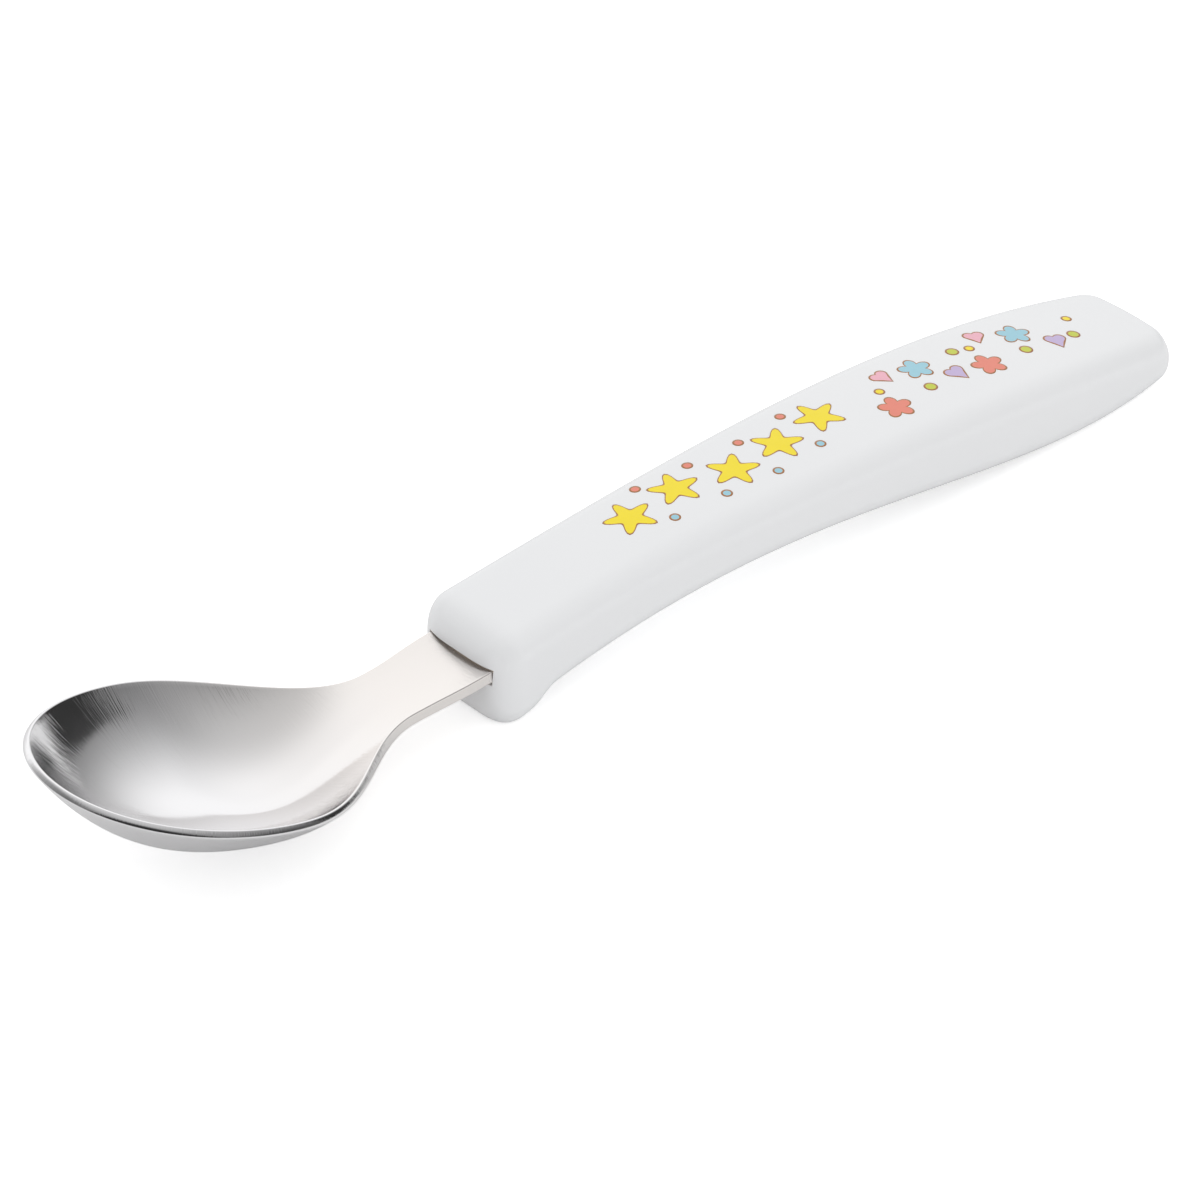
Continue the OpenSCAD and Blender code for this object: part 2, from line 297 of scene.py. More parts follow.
def edge_points(s, side):
    """The sheet's edge on one side, over its two roundings, from the upper face to the lower one."""
    upper = face_point(s, side)
    normal = face_normal(s, side)
    out = np.cross(unit(run_direction(s, side)), normal)
    inward = face_point(s, 0 * s) - upper
    out = out * np.where((out * inward).sum(-1, keepdims=True) > 0, -1, 1)
    x = upper[..., :1]
    top = edge_rounding(x, LIP_TOP)
    under = edge_rounding(x, LIP_UNDER)
    lower = upper - normal * sheet_thickness(x)
    over_top = [upper - normal * top * (1 - math.cos(t)) + out * top * math.sin(t) for t in quarter_turn]
    below = [lower + normal * under * (1 - math.cos(t)) + out * top * math.sin(t) for t in quarter_turn]
    return np.stack(over_top + below[::-1], 1)


print("the lip stands", round(float(edge_rounding(0.0, LIP_TOP)), 3), "mm outside the upper face")

# %% [markdown]
# ## Spoon head: its mesh
# A Solidify modifier could thicken the upper face, but it would leave square edges where the real lip is
# round. Instead each row of the mesh is a closed loop: across the upper face, over one edge, back below
# and over the other edge. Joining the loops gives one closed skin. Its UV map says how far along the rim
# and how far out towards it each point is, because the lines that polishing leaves follow these two
# directions.

# %% Loops round the sheet
FRONT_ROWS = 72
HEEL_ROWS = 120
TANG_ROWS = 16
HALF_POINTS = 44

rows = np.concatenate([
    np.linspace(-1, 0, FRONT_ROWS + 1),
    np.linspace(0, HANDLE_X, HEEL_ROWS + 1)[1:],
    np.linspace(HANDLE_X, HANDLE_X + TANG_L, TANG_ROWS + 1)[1:],
])
ones = np.ones_like(rows)
across = np.linspace(-1, 1, 2 * HALF_POINTS + 1)
s_grid, r_grid = np.meshgrid(rows, across, indexing="ij")
upper = face_point(s_grid, r_grid)
lower = upper - sheet_thickness(upper[..., :1]) * face_normal(s_grid, r_grid)
right_edge = edge_points(rows, ones)
left_edge = edge_points(rows, -ones)
loops = np.concatenate([upper, right_edge, lower[:, ::-1], left_edge[:, ::-1]], 1)
loops[..., 0] -= ORIGIN_X
loop_size = loops.shape[1]
print(len(loops), "loops of", loop_size, "points")

# %% Map for the polishing lines
rim = face_point(rows, ones)
rim_steps = np.linalg.norm(np.diff(rim, axis=0), axis=1)
along_rim = np.concatenate([[0], np.cumsum(rim_steps)])
on_edge = np.ones(2 * EDGE_STEPS)
out_share = np.concatenate([np.abs(across), on_edge, np.abs(across), on_edge])
print("one side of the rim is", round(float(along_rim[-1]), 1), "mm long")

# %% Mesh of the spoon head
WELD = 1e-7


def new_piece(name, shape=None):
    """An object at the origin, with its place in its mesh, which is a finished bmesh or still empty."""
    mesh = bpy.data.meshes.new(name)
    if shape is not None:
        shape.to_mesh(mesh)
        shape.free()
    piece = bpy.data.objects.new(name, mesh)
    scene.collection.objects.link(piece)
    return piece


sheet = bmesh.new()
grid = [[sheet.verts.new(point * MM) for point in loop] for loop in loops]
polish = sheet.loops.layers.uv.new("polish")
for i in range(len(rows) - 1):
    for j in range(loop_size):
        k = (j + 1) % loop_size
        rim_side = 1 if HALF_POINTS < j < HALF_POINTS + loop_size // 2 else -1
        corners = ((i, j), (i, k), (i + 1, k), (i + 1, j))
        face = sheet.faces.new([grid[a][b] for a, b in corners])
        face.smooth = True
        for face_corner, (a, b) in zip(face.loops, corners):
            face_corner[polish].uv = (rim_side * along_rim[a], out_share[b])
sheet.faces.new(grid[-1][::-1])
bmesh.ops.remove_doubles(sheet, verts=sheet.verts, dist=WELD)
bmesh.ops.recalc_face_normals(sheet, faces=sheet.faces)
spoon_head = new_piece("spoon_head_steel", sheet)
print("the spoon head has", len(spoon_head.data.polygons), "faces")

# %% [markdown]
# ## Keying holes of the tang
# Inside the handle the resin runs through two holes in the tang, so that the head can't be pulled out. On
# the real part a punch makes them. Leaving them out of the loops' pattern would need odd faces round each
# hole, so a Boolean modifier subtracts two drills instead, and its result is kept as a plain mesh.

# %% Drills
KEY_D = 3.2
KEY_COUNT = 2
KEY_SIDES = 48
BOND_INSET = 0.5
DRILL_L = 4 * NECK_SHEET

key_pitch = (TANG_L - BOND_INSET - TANG_TAPER_L / 2) / KEY_COUNT
tang_start = Matrix.Translation((frame_x(HANDLE_X), 0, NECK_Z * MM))
tang_tilt = Matrix.Rotation(-NECK_RISE, 4, "Y")
drill_shape = bmesh.new()
for i in range(KEY_COUNT):
    reach = Matrix.Translation(((BOND_INSET + key_pitch * (i + 0.5)) * MM, 0, 0))
    bmesh.ops.create_cone(
        drill_shape, cap_ends=True, segments=KEY_SIDES, depth=DRILL_L * MM,
        radius1=KEY_D / 2 * MM, radius2=KEY_D / 2 * MM, matrix=tang_start @ tang_tilt @ reach,
    )
drill = new_piece("tang_drill", drill_shape)
print(KEY_COUNT, "drills,", round(key_pitch, 2), "mm apart")

# %% Cut the holes
SHARP_EDGE = math.radians(35)


def settle(piece, modifier):
    """Keeps what a modifier makes as the piece's own plain mesh."""
    graph = bpy.context.evaluated_depsgraph_get()
    mesh = bpy.data.meshes.new_from_object(piece.evaluated_get(graph), depsgraph=graph)
    piece.modifiers.remove(modifier)
    piece.data = mesh
    mesh.name = piece.name
    print(piece.name, "has", len(mesh.polygons), "faces")


cut = spoon_head.modifiers.new("keying_holes", "BOOLEAN")
cut.object = drill
cut.solver = "EXACT"
settle(spoon_head, cut)
spoon_head.data.set_sharp_from_angle(angle=SHARP_EDGE)
bpy.data.objects.remove(drill)

# %% [markdown]
# ## Helpers for node trees
# Finishes and Geometry Nodes are both trees of small steps. Drawn in the editor, a formula becomes a row
# of Math nodes. In a script it reads better as a formula, so a Wire stands for a value that flows from one
# node to another, and arithmetic on wires adds the Math nodes.

# %% Wires
class Wire:
    """A value on its way through a node tree. Arithmetic on it adds Math nodes to that tree."""

    def __init__(self, socket):
        self.socket = socket

    def __add__(self, other):
        return calc("ADD", self, other)

    def __radd__(self, other):
        return calc("ADD", other, self)

    def __sub__(self, other):
        return calc("SUBTRACT", self, other)

    def __rsub__(self, other):
        return calc("SUBTRACT", other, self)

    def __mul__(self, other):
        return calc("MULTIPLY", self, other)

    def __rmul__(self, other):
        return calc("MULTIPLY", other, self)

    def __truediv__(self, other):
        return calc("DIVIDE", self, other)

    def __rtruediv__(self, other):
        return calc("DIVIDE", other, self)

    def __lt__(self, other):
        return calc("LESS_THAN", self, other)

    def __gt__(self, other):
        return calc("GREATER_THAN", self, other)


print("a Wire takes + - * / < and >")


# %% Nodes
def shown(sockets):
    """The sockets that a node shows with its present settings."""
    return [socket for socket in sockets if socket.enabled]


def join(socket, value):
    """Feeds a socket from a wire or an output, or sets it to a plain value."""
    if isinstance(value, Wire):
        value = value.socket
    if isinstance(value, bpy.types.NodeSocket):
        socket.id_data.links.new(value, socket)
    else:
        socket.default_value = value


def add_node(tree, kind, inputs=None, **settings):
    """A new node with its settings, and with inputs fed by name."""
    node = tree.nodes.new(kind)
    for name, value in settings.items():
        setattr(node, name, value)
    for name, value in (inputs or {}).items():
        join(node.inputs[name], value)
    return node


def flow(tree, kind, inputs=None, **settings):
    """The first output of a new node."""
    return Wire(shown(add_node(tree, kind, inputs, **settings).outputs)[0])


print("node helpers:", [helper.__name__ for helper in (shown, join, add_node, flow)])


# %% Sums
def tree_of(*values):
    """The tree that these values flow through."""
    return next(value.socket.id_data for value in values if isinstance(value, Wire))


def in_order(kind, values, **settings):
    """The output of a new node whose inputs take these values in order."""
    node = add_node(tree_of(*values), kind, **settings)
    for socket, value in zip(shown(node.inputs), values):
        join(socket, value)
    return Wire(shown(node.outputs)[0])


def calc(operation, *values):
    """The result of one Math node."""
    return in_order("ShaderNodeMath", values, operation=operation)


def mix(kind, factor, first, second):
    """First where the factor is 0, second where it is 1, and a mixture between."""
    return in_order("ShaderNodeMix", (factor, first, second), data_type=kind)


def ranged(value, from_min, from_max, to_min, to_max, rise="LINEAR"):
    """A value carried from one range to another, and kept inside it."""
    limits = (from_min, from_max, to_min, to_max)
    return in_order("ShaderNodeMapRange", (value, *limits), interpolation_type=rise)


def vector(x=0.0, y=0.0, z=0.0):
    """One vector from three numbers."""
    return in_order("ShaderNodeCombineXYZ", (x, y, z))


def split(wire):
    """The three numbers of a vector."""
    node = add_node(tree_of(wire), "ShaderNodeSeparateXYZ", {"Vector": wire})
    return [Wire(socket) for socket in node.outputs]


print("sums:", [helper.__name__ for helper in (calc, mix, ranged, vector, split)])

# %% [markdown]
# ## Polished steel
# The bowl is polished almost to a mirror. Towards the handle the steel turns satin and slightly warmer, and
# near the rim the polishing wheel has left fine lines. A plain metallic shader would look like chrome, so
# the roughness and the tone change along the spoon, a cloudy noise breaks the gloss, and a bump of
# stretched noise draws the lines. A Principled shader takes all of these.

# %% Helpers for finishes
NOISE_LOW = 0.3
NOISE_HIGH = 0.7


def new_finish(name, **sockets):
    """A material and its Principled shader, with plain values on the shader's sockets."""
    material = bpy.data.materials.new(name)
    material.use_nodes = True
    shader = material.node_tree.nodes["Principled BSDF"]
    for socket, value in sockets.items():
        shader.inputs[socket.replace("_", " ")].default_value = value
    return material, shader


def noise(place, scale, detail=2.0):
    """Cloudy noise, from 0 to 1."""
    inputs = {"Vector": place, "Scale": scale, "Detail": detail}
    return flow(tree_of(place), "ShaderNodeTexNoise", inputs)


def uneven(place, scale, low, high):
    """A value that wanders between low and high over a surface."""
    return ranged(noise(place, scale), NOISE_LOW, NOISE_HIGH, low, high)


def bump(shader, height, strength, distance):
    """Fine relief in a finish."""
    inputs = {"Strength": strength, "Distance": distance, "Height": height}
    join(shader.inputs["Normal"], flow(tree_of(height), "ShaderNodeBump", inputs))


def object_place(material):
    """Where a point is on its own object."""
    return Wire(add_node(material.node_tree, "ShaderNodeTexCoord").outputs["Object"])


print("finish helpers:", [helper.__name__ for helper in (new_finish, noise, uneven, bump, object_place)])

# %% Tone and gloss of the steel
BOWL_TONE = (0.82, 0.815, 0.825, 1)
NECK_TONE = (0.825, 0.79, 0.765, 1)
WARM_FROM = 2.0
BOWL_ROUGHNESS = 0.09
NECK_ROUGHNESS = 0.26
SATIN_FROM = HEEL_L - 6.0

steel, shader = new_finish("polished_steel", Metallic=1.0)
place = object_place(steel)
along_spoon = split(place)[0]
warmth = ranged(along_spoon, frame_x(WARM_FROM), frame_x(HEEL_L), 0.0, 1.0)
join(shader.inputs["Base Color"], mix("RGBA", warmth, BOWL_TONE, NECK_TONE))
satin = ranged(along_spoon, frame_x(SATIN_FROM), frame_x(HANDLE_X), BOWL_ROUGHNESS, NECK_ROUGHNESS)
join(shader.inputs["Roughness"], satin + uneven(place, scale=160.0, low=-0.02, high=0.03))
print("the steel turns satin over", round(HANDLE_X - SATIN_FROM, 2), "mm")

# %% Polishing lines
LINE_STRETCH = (1.6, 0.9, 1.0)
LINE_FINENESS = 3.5
LINE_DEPTH = 0.000025
LINES_FROM = 0.3
LINES_FULL = 0.8

rim_map = flow(steel.node_tree, "ShaderNodeUVMap", uv_map="polish")
stretched = flow(steel.node_tree, "ShaderNodeMapping", {"Vector": rim_map, "Scale": LINE_STRETCH})
near_rim = ranged(split(rim_map)[1], LINES_FROM, LINES_FULL, 0.0, 1.0)
bump(shader, noise(stretched, LINE_FINENESS) * near_rim, strength=1.0, distance=LINE_DEPTH)
spoon_head.data.materials.append(steel)
print(steel.name, "has", len(steel.node_tree.nodes), "nodes")

# %% [markdown]
# ## Glossy white plastic
# The handle is moulded in white ABS. Its gloss is soft: a mould is never quite even, so highlights have
# slightly ragged edges. One flat white would look like paper, so two close whites are mixed by noise, the
# roughness wanders a little, and a very faint bump ripples the reflections.

# %% Glossy white plastic
PLASTIC_IOR = 1.5


def mottle(shader, place, scale, first, second):
    """Two close colours, mixed by noise, as a shader's base colour."""
    join(shader.inputs["Base Color"], mix("RGBA", noise(place, scale), first, second))


plastic, shader = new_finish("glossy_white_plastic", IOR=PLASTIC_IOR)
place = object_place(plastic)
mottle(shader, place, scale=60.0, first=(0.86, 0.868, 0.882, 1), second=(0.885, 0.89, 0.9, 1))
join(shader.inputs["Roughness"], uneven(place, scale=240.0, low=0.2, high=0.27))
bump(shader, noise(place, scale=900.0, detail=3.0), strength=0.03, distance=0.00002)
print(plastic.name, "has", len(plastic.node_tree.nodes), "nodes")

# %% [markdown]
# ## Handle: its three lines
# The handle is one moulding: an arched bar with rounded long edges, softer roundings at its front, a finger
# stop below the front and a thin tail. A subdivided box would take many guesses to fit. The shape follows a
# rule too: a rounded rectangle stands at each station along the bar, sized by a top line, a line of the
# underside and a half width. Geometry Nodes can follow such a rule, with each size as a named input.

# %% Sizes of the handle
SLOT_GAP = 0.15
HANDLE_SIZES = {
    "Length": 94.25,
    "Top front": 10.1, "Top quarter": 12.95, "Top middle": 12.25, "Top back": 11.5, "Top tail": 5.75,
    "Under front": 0.65, "Under quarter": 5.4, "Under middle": 8.85, "Under back": -3.5, "Under tail": 0.65,
    "Side front": 6.7, "Side quarter": 5.7, "Side middle": 8.1, "Side back": 9.45, "Side tail": 6.9,
    "Crown": 0.4,
    "Top edge radius": 2.45, "Under edge radius": 2.5,
    "Front top radius": 3.4, "Front side radius": 3.2, "Front under radius": 2.6,
    "Tail top radius": 1.25, "Tail side radius": 2.35, "Tail under radius": 0.9,
    "Stop drop": 1.22, "Stop length": 3.55, "Stop fade": 4.25,
    "Slot width": 2 * (NECK_END_HALF_W + NECK_EDGE_R + SLOT_GAP),
    "Slot height": NECK_DISH + NECK_SHEET + 2 * SLOT_GAP,
    "Slot gap": SLOT_GAP,
    "Slot length": TANG_L + SLOT_GAP,
}


def new_tree(name, inputs):
    """A Geometry Nodes tree with named inputs of these kinds, and the inputs as wires."""
    tree = bpy.data.node_groups.new(name, "GeometryNodeTree")
    tree.interface.new_socket("Geometry", in_out="OUTPUT", socket_type="NodeSocketGeometry")
    for label, kind in inputs.items():
        tree.interface.new_socket(label, in_out="INPUT", socket_type=kind)
    outputs = add_node(tree, "NodeGroupInput").outputs
    return tree, {label: Wire(outputs[label]) for label in inputs}


moulding, size = new_tree("moulded_handle", dict.fromkeys(HANDLE_SIZES, "NodeSocketFloat"))
print(moulding.name, "has", len(size), "sizes as inputs")

# %% Stations along the handle
STATIONS = 260
CORNERS = 4
END_CROWDING = 0.93

station_line = flow(moulding, "GeometryNodeMeshLine", {"Count": STATIONS}, count_mode="TOTAL")
rectangle = flow(moulding, "GeometryNodeCurvePrimitiveQuadrilateral")
standing = flow(moulding, "GeometryNodeInstanceOnPoints", {"Points": station_line, "Instance": rectangle})
outlines = flow(moulding, "GeometryNodeRealizeInstances", {"Geometry": standing})
index = flow(moulding, "GeometryNodeInputIndex")
station = calc("FLOOR", index / CORNERS)
corner = index - station * CORNERS
part = station / (STATIONS - 1)

# The ends have the tightest curves, so the stations crowd towards them.
u = part - calc("SINE", part * math.tau) * (END_CROWDING / math.tau)
from_front = u * size["Length"]
from_ends = {"Front": from_front, "Tail": size["Length"] - from_front}
print(STATIONS, "stations on", HANDLE_SIZES["Length"], "mm")

# %% Top, side and underside
LINE_PLACES = ("front", "quarter", "middle", "back", "tail")
INWARD = {"Top": -1, "Side": -1, "Under": 1}


def bezier(u, controls):
    """The curve that evenly spaced control values draw, at u."""
    while len(controls) > 1:
        controls = [mix("FLOAT", u, a, b) for a, b in zip(controls, controls[1:])]
    return controls[0]


def quarter_round(distance, radius):
    """How far a quarter-round edge is drawn in at a distance from the end."""
    near = calc("MAXIMUM", 1 - distance / radius, 0.0)
    return radius * (1 - calc("SQRT", 1 - near * near))


def rounded_line(name):
    """One of the handle's lines, drawn in at both ends."""
    line = bezier(u, [size[f"{name} {where}"] for where in LINE_PLACES])
    for end, distance in from_ends.items():
        line = line + INWARD[name] * quarter_round(distance, size[f"{end} {name.lower()} radius"])
    return line


top = rounded_line("Top")
side = rounded_line("Side")
bar_under = rounded_line("Under")
print("three lines in", len(moulding.nodes), "nodes")

# %% Finger stop
stop_end = size["Stop length"] + size["Stop fade"]
stop = ranged(from_front, size["Stop length"], stop_end, size["Stop drop"], 0.0, rise="SMOOTHERSTEP")
under = bar_under - stop
height = top - under
print("the finger stop hangs", HANDLE_SIZES["Stop drop"], "mm below the bar")

# %% [markdown]
# ## Handle: its outlines
# Each station's rectangle takes its size from the three lines, and then gets round corners, because a
# moulding has no sharp long edges. Fillet Curve rounds them and Resample Curve spaces the points evenly,
# which is simpler than working out arcs by hand. The top is slightly crowned, and the table cuts the
# underside flat, which makes the two small lands that the handle rests on.

# %% Corners of the outlines
# Corners 0 and 1 are on top, and corners 1 and 2 are on the near side, towards -Y.
is_top = corner < 1.5
is_near = calc("ABSOLUTE", corner - 1.5) < 1.0
corner_y = side * (1 - is_near * 2)
corner_z = under + is_top * height

# The lines are kept on the outlines, because rounding the corners changes the index.
lines = {"side": side, "under": under, "height": height, "is_top": is_top}
kept = add_node(moulding, "GeometryNodeCaptureAttribute", {"Geometry": outlines})
for name, value in lines.items():
    kept.capture_items.new("FLOAT", name)
    join(kept.inputs[name], value)
line_at = {name: Wire(kept.outputs[name]) for name in lines}


def move_points(geometry, **places):
    """Geometry with its points at a new Position, or moved on by an Offset."""
    return flow(tree_of(geometry), "GeometryNodeSetPosition", {"Geometry": geometry, **places})


rectangles = move_points(Wire(kept.outputs["Geometry"]), Position=vector(from_front, corner_y, corner_z))
print(CORNERS, "corners at each station")

# %% Round long edges
RING_POINTS = 176
ARC_STEPS = 12
EDGE_SHARE = 0.49

edge_radius = mix("FLOAT", line_at["is_top"], size["Under edge radius"], size["Top edge radius"])
fitting_radius = calc("MINIMUM", edge_radius, line_at["height"] * EDGE_SHARE)
rounded = flow(moulding, "GeometryNodeFilletCurve", {
    "Curve": rectangles, "Count": ARC_STEPS, "Radius": fitting_radius, "Limit Radius": True,
}, mode="POLY")
even = flow(moulding, "GeometryNodeResampleCurve", {"Curve": rounded, "Count": RING_POINTS})
print(RING_POINTS, "points round each outline")

# %% Crown and table
position = flow(moulding, "GeometryNodeInputPosition")
x, y, z = split(position)
side_share = y / line_at["side"]
up_share = (z - line_at["under"]) / line_at["height"]
crowned = z - size["Crown"] * (side_share * side_share) * up_share
rings = move_points(even, Position=vector(x, y, calc("MAXIMUM", crowned, 0.0)))
print("crowned by", HANDLE_SIZES["Crown"], "mm and cut at the table")

# %% [markdown]
# ## Handle: its skin
# The outlines still need a surface. A loft could be made with Curve to Mesh only if every outline were the
# same, so a grid is draped over them: each row of the grid looks up the points of one outline. The rows at
# both ends are drawn to one point, which closes the skin.

# %% Rows of the skin
def row_and_column(index, width):
    """Row and column of a grid's point or face, from its index."""
    row = calc("FLOOR", index / width)
    return row, index - row * width


skin = flow(moulding, "GeometryNodeMeshGrid", {"Vertices X": STATIONS + 2, "Vertices Y": RING_POINTS + 1})
row, column = row_and_column(index, RING_POINTS + 1)
column = calc("FLOORED_MODULO", column, RING_POINTS)
ring = calc("MINIMUM", calc("MAXIMUM", row - 1, 0.0), STATIONS - 1)
ring_start = ring * RING_POINTS
is_end = calc("ABSOLUTE", row - 1 - ring) > 0.5
print("the skin has", STATIONS + 2, "rows")


# %% Drape the skin
def ring_point(number):
    """Where one point of the outlines is."""
    inputs = {"Geometry": rings, "Value": position, "Index": number}
    return flow(moulding, "GeometryNodeSampleIndex", inputs, data_type="FLOAT_VECTOR", domain="POINT")


def weld(geometry):
    """Geometry whose meeting points are one."""
    return flow(tree_of(geometry), "GeometryNodeMergeByDistance", {"Geometry": geometry, "Distance": WELD})


ring_middle = mix("VECTOR", 0.5, ring_point(ring_start), ring_point(ring_start + RING_POINTS // 2))
skin_place = mix("VECTOR", is_end, ring_point(ring_start + column), ring_middle)
bar = weld(move_points(skin, Position=skin_place))
print("the bar takes", len(moulding.nodes), "nodes")

# %% [markdown]
# ## Handle: slot and finish
# The tang sits in a straight slot, tilted as the tang is, with a small gap round it that shows as a dark
# line in front. A Mesh Boolean cuts it. The slot's edges stay crisp and all else is shaded smooth. Both
# trees of this lesson end alike, with Realize Instances and Set Material, so that no instance is lost when
# the spoon is exported.

# %% Slot
slot_size = vector(size["Slot length"] * 2, size["Slot width"], size["Slot height"])
block = flow(moulding, "GeometryNodeMeshCube", {"Size": slot_size})
slot_z = size["Slot gap"] - size["Slot height"] * 0.5 + NECK_Z * MM
slot = flow(moulding, "GeometryNodeTransform", {
    "Geometry": block, "Translation": vector(z=slot_z), "Rotation": (0.0, -NECK_RISE, 0.0),
})
slotted = flow(moulding, "GeometryNodeMeshBoolean", {
    "Mesh 1": bar, "Mesh 2": slot,
}, operation="DIFFERENCE", solver="EXACT")
print("the slot is", round(HANDLE_SIZES["Slot width"], 2), "mm wide")


# %% Place and finish
def finish_tree(tree, geometry, material, selection=True):
    """Ends a tree with real geometry, and with a material on the faces of the selection."""
    real = flow(tree, "GeometryNodeRealizeInstances", {"Geometry": geometry})
    inputs = {"Geometry": real, "Selection": selection, "Material": material}
    add_node(tree, "NodeGroupOutput", {"Geometry": flow(tree, "GeometryNodeSetMaterial", inputs)})


in_place = flow(moulding, "GeometryNodeTransform", {
    "Geometry": slotted, "Translation": (frame_x(HANDLE_X), 0.0, 0.0),
})
smooth = flow(moulding, "GeometryNodeSetShadeSmooth", {"Geometry": in_place}, domain="FACE")
fold = Wire(add_node(moulding, "GeometryNodeInputMeshEdgeAngle").outputs["Unsigned Angle"])
crisp = flow(moulding, "GeometryNodeSetShadeSmooth", {
    "Geometry": smooth, "Selection": fold > SHARP_EDGE, "Shade Smooth": False,
}, domain="EDGE")
finish_tree(moulding, crisp, plastic)
print(moulding.name, "has", len(moulding.nodes), "nodes")


# %% Make the handle
def run_tree(piece, tree, values):
    """Runs a Geometry Nodes tree on a piece once, and keeps its result as a plain mesh."""
    modifier = piece.modifiers.new(tree.name, "NODES")
    modifier.node_group = tree
    for socket in tree.interface.items_tree:
        if socket.in_out == "INPUT":
            modifier[socket.identifier] = values[socket.name]
    settle(piece, modifier)


handle = new_piece("handle_moulding")
run_tree(handle, moulding, {name: value * MM for name, value in HANDLE_SIZES.items()})

# %% [markdown]
# ## Cured resin
# The resin fills the slot round the tang and can be seen only a little way inside the slot's mouth. It has
# set hard and dull, in an uneven pale brown. It could be rebuilt like the other pieces, but its CAD solid
# already has the right shape, so it stays and only gets this finish.

# %% Cured resin
resin, shader = new_finish("cured_resin", Roughness=0.45)
place = object_place(resin)
mottle(shader, place, scale=300.0, first=(0.7, 0.6, 0.5, 1), second=(0.8, 0.71, 0.62, 1))
bump(shader, noise(place, scale=500.0), strength=0.1, distance=0.0001)
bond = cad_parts["tang_bond"]
bond.data.materials.clear()
bond.data.materials.append(resin)
print(bond.name, "is finished in", resin.name)

# %% [markdown]
# ## Printing inks
# The top of the handle carries a print: flat patches of ink, each with a thin brown line round it. Ink is
# a little duller than the plastic below it. One shader could mix all the colours by position, but one
# finish for each ink is plainer, and a loop makes them. Colours are easiest to write as screens count them,
# from 0 to 255, and a helper turns them into the linear light that shaders use.

# %% Inks
INK_COLOURS = {
    "yellow": (255, 232, 20),
    "coral": (240, 138, 118),
    "blue": (160, 212, 228),
    "lilac": (203, 184, 224),
    "pink": (247, 184, 200),
    "lime": (204, 214, 60),
    "brown": (178, 120, 70),
}
INK_THINNEST = 0.94
SCREEN_MOST = 255
SCREEN_OFFSET = 0.055
SCREEN_POWER = 2.4


def from_screen(colour):
    """A colour of a screen as linear light."""
    shares = [(amount / SCREEN_MOST + SCREEN_OFFSET) / (1 + SCREEN_OFFSET) for amount in colour]
    return [share ** SCREEN_POWER for share in shares]


inks = {}
for name, colour in INK_COLOURS.items():
    ink, shader = new_finish("ink_" + name, IOR=PLASTIC_IOR)
    place = object_place(ink)
    light = from_screen(colour)
    thin = [INK_THINNEST * amount for amount in light]
    mottle(shader, place, scale=700.0, first=(*light, 1), second=(*thin, 1))
    join(shader.inputs["Roughness"], uneven(place, scale=500.0, low=0.28, high=0.36))
    inks[name] = ink
print("inks:", sorted(inks))

# %% [markdown]
# ## Printed motifs
# A picture could carry the print, but ink is a film with an edge, and as geometry it stays sharp in any
# view. Each motif is a disc whose radius changes with the angle, so one kind of disc gives stars, flowers,
# hearts and dots. Each rule below gives the radius at an angle, with about 1 as the largest.

# %% Stars, flowers and dots
STAR_POINTS = 5
STAR_DEPTH = 0.34
PETALS = 5
PETAL_DEPTH = 0.42


def star_radius(angle):
    """Soft points, narrower than the hollows between them."""
    return (1 - STAR_DEPTH) / (1 - calc("COSINE", angle * STAR_POINTS) * STAR_DEPTH)


def flower_radius(angle):
    """Round petals with sharp clefts between them."""
    return (1 - PETAL_DEPTH) + calc("ABSOLUTE", calc("COSINE", angle * (PETALS / 2))) * PETAL_DEPTH


def dot_radius(angle):
    """The same all round."""
    return 1.0


print("a star's inner radius is", round((1 - STAR_DEPTH) / (1 + STAR_DEPTH), 2), "of its outer one")

# %% Hearts
LOBE_TURN = 0.8
LOBE_OUT = 0.5
LOBE_RADIUS = 0.46
SIDE_TURN = 2.2

side_out = LOBE_OUT * math.cos(SIDE_TURN - LOBE_TURN) + LOBE_RADIUS
side_from = math.atan2(
    LOBE_OUT * math.sin(LOBE_TURN) + LOBE_RADIUS * math.sin(SIDE_TURN),
    LOBE_OUT * math.cos(LOBE_TURN) + LOBE_RADIUS * math.cos(SIDE_TURN),
)


def heart_radius(angle):
    """Two round lobes, and straight sides that leave them smoothly and meet in the tip."""
    turn = calc("ARCCOSINE", calc("SINE", angle))
    off_lobe = turn - LOBE_TURN
    across = calc("SINE", off_lobe) * LOBE_OUT
    lobe = calc("COSINE", off_lobe) * LOBE_OUT + calc("SQRT", LOBE_RADIUS ** 2 - across * across)
    straight = side_out / calc("COSINE", turn - SIDE_TURN)
    return mix("FLOAT", turn > side_from, lobe, straight)


print("a heart's straight sides start", round(math.degrees(side_from)), "degrees from its cleft")

# %% [markdown]
# ## Runs of motifs
# The print is a few loose rows of small motifs. Placing each by hand would take dozens of numbers, so equal
# motifs go in runs along the handle: where the run starts, its spacing, its place across and how far it
# swings from side to side. A random turn with a fixed seed keeps the motifs from looking stamped, and gives
# the same print each time.

